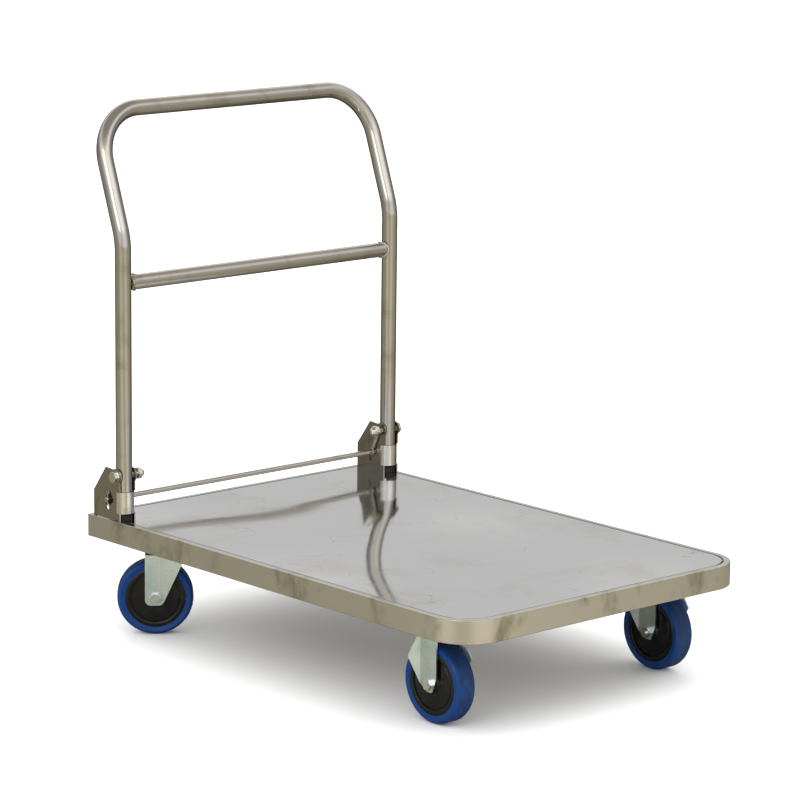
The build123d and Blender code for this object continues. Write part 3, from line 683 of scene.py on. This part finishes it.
def makeRim():
    d = deck
    rim = deckSheet(0, d["corner"], d["bottom"])
    only(rim)
    bpy.ops.object.mode_set(mode="EDIT")
    bpy.ops.mesh.select_all(action="SELECT")
    bpy.ops.mesh.extrude_region_move(TRANSFORM_OT_translate={"value": (0, 0, (d["top"] - d["bottom"]) * mm)})
    bpy.ops.mesh.inset(thickness=d["lip"] * mm)
    bpy.ops.mesh.delete(type="FACE")
    pick(rim, lambda c, n: c.z < (d["bottom"] + 0.1) * mm)
    bpy.ops.mesh.inset(thickness=d["underLip"] * mm)
    bpy.ops.mesh.delete(type="FACE")
    bpy.ops.mesh.select_all(action="SELECT")
    bpy.ops.mesh.normals_make_consistent(inside=False)
    bpy.ops.object.mode_set(mode="OBJECT")
    outer = (d["top"] - 0.01) * mm
    pick(rim, lambda c, v: (c.z > outer or c.z < (d["bottom"] + 0.01) * mm)
         and abs(v.z) < 0.1 and onRimEdge(c, d), "EDGE")
    bpy.ops.mesh.bevel(offset=d["bend"] * mm, segments=4, affect="EDGES")
    bpy.ops.object.mode_set(mode="OBJECT")
    modify(rim, "SOLIDIFY", thickness=d["sheet"] * mm, offset=-1, use_even_offset=True)
    modify(rim, "BEVEL", width=d["rimEdge"] * mm, segments=2, limit_method="ANGLE", angle_limit=radians(60))
    return finished(rim, "deckRim", 50, flats=True)


dress(makePanel(), "chassis", "stainless_mirror", "deck_panel")
dress(makeRim(), "chassis", "stainless_satin", "edge_rim", "rear_edge")
print("deck made")


# Lock springs: close coils with a hook over the pivot bolt and one round the rod.

spring = {
    "pivot": (-374.413, 263.5), "rod": (-392.663, 223.0), "y": 266.9, "coilRadius": 2.8, "wire": 0.65, "coils": 16,
    "topHook": 6.0, "rodHook": 5.3, "wireSides": 8, "stepsPerTurn": 20,
}


def makeSpring(name, side):
    s = spring
    top = Vector((s["pivot"][0], side * s["y"], s["pivot"][1]))
    low = Vector((s["rod"][0], side * s["y"], s["rod"][1]))
    way = (top - low).normalized()
    first, last = low + way * (s["rodHook"] + s["wire"]), top - way * (s["topHook"] + s["wire"])
    deselect()
    bpy.ops.mesh.primitive_circle_add(vertices=s["wireSides"], radius=s["wire"] * mm, fill_type="NGON",
                                      location=(s["coilRadius"] * mm, 0, 0), rotation=(radians(90), 0, 0))
    coil = bpy.context.object
    bpy.ops.object.transform_apply(location=True, rotation=True, scale=True)
    modify(coil, "SCREW", angle=2 * pi * s["coils"], screw_offset=(last - first).length * mm,
           steps=s["stepsPerTurn"] * s["coils"], render_steps=s["stepsPerTurn"] * s["coils"], axis="Z",
           use_smooth_shade=True, use_normal_calculate=True)
    coil.rotation_euler = way.to_track_quat("Z", "Y").to_euler()
    coil.location = first * mm
    parts = [coil]
    for centre, radius in ((top, s["topHook"]), (low, s["rodHook"])):
        deselect()
        bpy.ops.mesh.primitive_torus_add(major_radius=radius * mm, minor_radius=s["wire"] * mm, major_segments=40,
                                         minor_segments=s["wireSides"], location=centre * mm,
                                         rotation=(radians(90), 0, 0))
        parts.append(bpy.context.object)
    for part in parts:
        only(part)
        bpy.ops.object.transform_apply(location=True, rotation=True, scale=True)
    piece = finished(joined(parts), name, 60)
    piece.data.materials.clear()
    piece.data.materials.append(finishes["spring_steel"])
    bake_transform(piece)
    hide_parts("lock_spring_left" if side > 0 else "lock_spring_right")


makeSpring("lockSpringLeft", 1)
makeSpring("lockSpringRight", -1)
print("springs made")


# Sheet metal and turned parts taken from the frame, with rounded edges.

softParts = {
    "hinge_bracket_left": ("hingePlateLeft", 0.5), "hinge_bracket_right": ("hingePlateRight", 0.5),
    "fixed_fork_left": ("fixedForkLeft", 0.5), "fixed_fork_right": ("fixedForkRight", 0.5),
    "swivel_fork_left": ("swivelForkLeft", 0.5), "swivel_fork_right": ("swivelForkRight", 0.5),
    "swivel_plate_left": ("topPlateLeft", 0.4), "swivel_plate_right": ("topPlateRight", 0.4),
    "lock_rod": ("lockRod", 0.3), "rod_split_pins": ("splitPins", 0.25), "rod_washers": ("rodWashers", 0.25),
    "pivot_bolts": ("pivotBolts", 0.4), "pivot_washers": ("pivotWashers", 0.3), "pivot_nuts": ("capNuts", 0.3),
    "fixed_axle_bolts": ("frontAxleBolts", 0.4), "fixed_axle_nuts": ("frontAxleNuts", 0.4),
    "swivel_axle_bolt_left": ("rearAxleBoltLeft", 0.4), "swivel_axle_bolt_right": ("rearAxleBoltRight", 0.4),
    "swivel_axle_nut_left": ("rearAxleNutLeft", 0.4), "swivel_axle_nut_right": ("rearAxleNutRight", 0.4),
    # The bracket pads are black rubber blocks that also stand in for the shade in the gap under each bracket's
    # bend.
    "swivel_seals": ("dustSeals", 0.5), "bracket_pads": ("bracketPads", 0.8),
}
# The part of each bracket that is bent round the leg, which gets a painted highlight: its heights, and outside
# which radius.
bracketBend = {"low": 190.0, "high": 235.0, "radius": 15.0, "ahead": 0.2}
# Parts whose finish isn't simply that of their slot.
ownFinish = {"hinge_bracket_left": "bracket_steel", "hinge_bracket_right": "bracket_steel",
             "rod_washers": "dark_washer", "swivel_fork_left": "fork_zinc_left",
             "swivel_fork_right": "fork_zinc_right"}


def onBend(c, normal):
    away = hypot(c.x / mm - handle["legX"], abs(c.y) / mm - handle["legY"])
    return (c.x > (handle["legX"] + bracketBend["ahead"]) * mm and away > bracketBend["radius"]
            and bracketBend["low"] < c.z / mm < bracketBend["high"])


for nodeName, (name, width) in softParts.items():
    piece = softened(nodeName, name, width)
    dress(piece, bodyOf(nodeName), slotOf(nodeName), nodeName, finish=ownFinish.get(nodeName))
    if nodeName.startswith("hinge_bracket"):
        # Painted highlight: the bend round the leg gets a brighter copy of the steel than the flat sides, standing
        # in for its reflections.
        piece.data.materials.append(finishes["bracket_bend"])
        pick(piece, onBend)
        piece.active_material_index = 1
        bpy.ops.object.material_slot_assign()
        bpy.ops.object.mode_set(mode="OBJECT")
print("sheet parts rounded:", len(softParts))


# Room: floor, lights, camera.

room = {
    "floor": 0.92, "floorInMetal": (0.252, 0.234, 0.181), "ahead": (0.744, -0.668, 0), "right": (0.668, 0.744, 0),
    # How bright metal sees the floor and the low sky, by degrees to the right of "ahead". A fixed compass.
    "most": 2.0,
    "floorRound": [(-180, 0.25), (-140, 0.30), (-110, 0.80), (-95, 0.92), (-60, 1.10), (-30, 1.75), (0, 1.35),
                   (30, 1.90), (58, 1.45), (85, 1.12), (110, 0.90), (140, 0.30), (180, 0.25)],
    "skyRound": [(-180, 1.0), (-165, 1.0), (-148, 0.5), (-100, 0.45), (-60, 0.9), (-30, 1.5), (0, 1.3), (30, 1.8),
                 (60, 1.5), (85, 0.85), (110, 0.5), (148, 0.5), (165, 1.0), (180, 1.0)],
    # How bright metal sees the sky, by height.
    "skyRise": [(0.0, 0.60), (0.15, 0.60), (0.26, 0.63), (0.42, 1.0), (0.56, 1.15), (0.70, 0.75), (0.85, 0.42),
                (1.0, 0.40)],
    "skyWarm": (1.0, 0.955, 0.875), "warmFrom": 0.28, "warmTo": 0.5, "skyLight": 1.62,
    # Above this height range the sky has no direction. Nearer than this range the floor has none either.
    "plainFrom": 0.35, "plainTo": 0.7, "nearFrom": 0.5, "nearTo": 0.9,
    "floorSize": 160.0, "floorDrop": 0.0004, "floorMarks": 0.985,
    "topPower": 20.0, "sidePower": 14.0, "farPower": 10.0,
}


def aroundLevel(tree, toward, table):
    # A brightness looked up by compass direction.
    ahead = addNode(tree, "VectorMath", {0: toward, 1: room["ahead"]}, operation="DOT_PRODUCT").outputs["Value"]
    right = addNode(tree, "VectorMath", {0: toward, 1: room["right"]}, operation="DOT_PRODUCT").outputs["Value"]
    turn = addNode(tree, "Math", {0: right, 1: ahead}, operation="ARCTAN2").outputs[0]
    turn = addNode(tree, "MapRange", {"Value": turn, "From Min": -pi, "From Max": pi}).outputs["Result"]
    level = floatCurve(tree, turn, [(0.5 + degrees / 360, value / room["most"]) for degrees, value in table])
    return addNode(tree, "Math", {0: level, 1: room["most"]}, operation="MULTIPLY").outputs[0]


def makeFloor():
    deselect()
    bpy.ops.mesh.primitive_plane_add(size=room["floorSize"], location=(0, 0, -room["floorDrop"]))
    floor = bpy.context.object
    floor.name = "studioFloor"
    material, tree, shader = blankMaterial("palePaper")
    place = addNode(tree, "TexCoord").outputs["Object"]
    marks = useGroup(tree, cloudyMarks, {"Place": place, "Scale": 0.5, "Low": 0.3, "High": 0.8}).outputs["Mask"]
    pale, dull = room["floor"], room["floor"] * room["floorMarks"]
    paper = mixColour(tree, marks, (pale, pale, pale, 1), (dull, dull, dull, 1))
    # Metal sees a warm, dimmer floor, bright in front of the cart and dark behind it.
    level = aroundLevel(tree, place, room["floorRound"])
    away = addNode(tree, "VectorMath", {0: place}, operation="LENGTH").outputs["Value"]
    near = addNode(tree, "MapRange", {"Value": away, "From Min": room["nearFrom"],
                                      "From Max": room["nearTo"]}).outputs["Result"]
    level = addNode(tree, "Mix", {0: near, 2: 1.0, 3: level}, data_type="FLOAT").outputs[0]
    grey = addNode(tree, "VectorMath", {0: room["floorInMetal"], 3: level}, operation="SCALE").outputs[0]
    glossy = addNode(tree, "LightPath").outputs["Is Glossy Ray"]
    tree.links.new(mixColour(tree, glossy, paper, grey), shader.inputs["Base Color"])
    shader.inputs["Roughness"].default_value = 0.9
    shader.inputs["Specular IOR Level"].default_value = 0.0
    floor.data.materials.append(material)


def addPanel(name, place, target, size, power):
    bpy.ops.object.light_add(type="AREA", location=place)
    lamp = bpy.context.object
    lamp.name = name
    lamp.data.shape = "RECTANGLE"
    lamp.data.size, lamp.data.size_y = size
    lamp.data.energy = power
    lamp.rotation_euler = (Vector(target) - Vector(place)).to_track_quat("-Z", "Y").to_euler()
    return lamp


def makeRoom():
    makeFloor()
    world = bpy.data.worlds.new("studio")
    world.use_nodes = True
    tree = world.node_tree
    sky = tree.nodes["Background"]
    toward = addNode(tree, "TexCoord").outputs["Generated"]
    height = addNode(tree, "SeparateXYZ", {0: toward}).outputs["Z"]
    grade = floatCurve(tree, height, [(z, value / room["most"]) for z, value in room["skyRise"]])
    grade = addNode(tree, "Math", {0: grade, 1: room["most"]}, operation="MULTIPLY").outputs[0]
    # Low down, metal sees a bright front and dark sides, so that round and folded metal shows its shape.
    shape = aroundLevel(tree, toward, room["skyRound"])
    low = addNode(tree, "MapRange", {"Value": height, "From Min": room["plainFrom"],
                                     "From Max": room["plainTo"], "To Min": 1.0, "To Max": 0.0}).outputs["Result"]
    shape = addNode(tree, "Mix", {0: low, 2: 1.0, 3: shape}, data_type="FLOAT").outputs[0]
    grade = addNode(tree, "Math", {0: grade, 1: shape}, operation="MULTIPLY").outputs[0]
    glossy = addNode(tree, "LightPath").outputs["Is Glossy Ray"]
    level = addNode(tree, "Mix", {0: glossy, 2: room["skyLight"], 3: grade}, data_type="FLOAT").outputs[0]
    tree.links.new(level, sky.inputs["Strength"])
    warm = addNode(tree, "MapRange", {"Value": height, "From Min": room["warmFrom"],
                                      "From Max": room["warmTo"]}).outputs["Result"]
    warm = addNode(tree, "Math", {0: warm, 1: glossy}, operation="MULTIPLY").outputs[0]
    tree.links.new(mixColour(tree, warm, (1, 1, 1, 1), (*room["skyWarm"], 1)), sky.inputs["Color"])
    bpy.context.scene.world = world
    topPanel = addPanel("topPanel", (0.4, 0.6, 3.0), (0, 0, 0.2), (2.6, 2.6), room["topPower"])
    addPanel("sidePanel", (1.6, -3.2, 2.4), (0, 0, 0.3), (1.6, 1.6), room["sidePower"])
    farPanel = addPanel("farPanel", (-3.0, 2.4, 2.2), (0, 0, 0.5), (2.0, 1.6), room["farPower"])
    # These two light the cart without showing as hot spots in the mirror deck.
    topPanel.visible_glossy = farPanel.visible_glossy = False


viewer = {"place": (4.1421, -3.7423, 1.5557), "azimuth": 48.06, "elevation": 11.58, "roll": 0.64,
          "lens": 160.34, "sensor": 36.0, "farthest": 200}


def makeCamera():
    data = bpy.data.cameras.new("viewCamera")
    camera = bpy.data.objects.new("viewCamera", data)
    bpy.context.collection.objects.link(camera)
    data.lens, data.sensor_width = viewer["lens"], viewer["sensor"]
    data.clip_end = viewer["farthest"]
    turn = Matrix.Rotation(radians(viewer["azimuth"]), 4, "Z")
    turn = turn @ Matrix.Rotation(radians(90 - viewer["elevation"]), 4, "X")
    turn = turn @ Matrix.Rotation(radians(viewer["roll"]), 4, "Z")
    camera.matrix_world = Matrix.Translation(viewer["place"]) @ turn
    bpy.context.scene.camera = camera


makeRoom()
makeCamera()
bpy.context.scene.view_settings.view_transform = "Standard"
print("room ready")
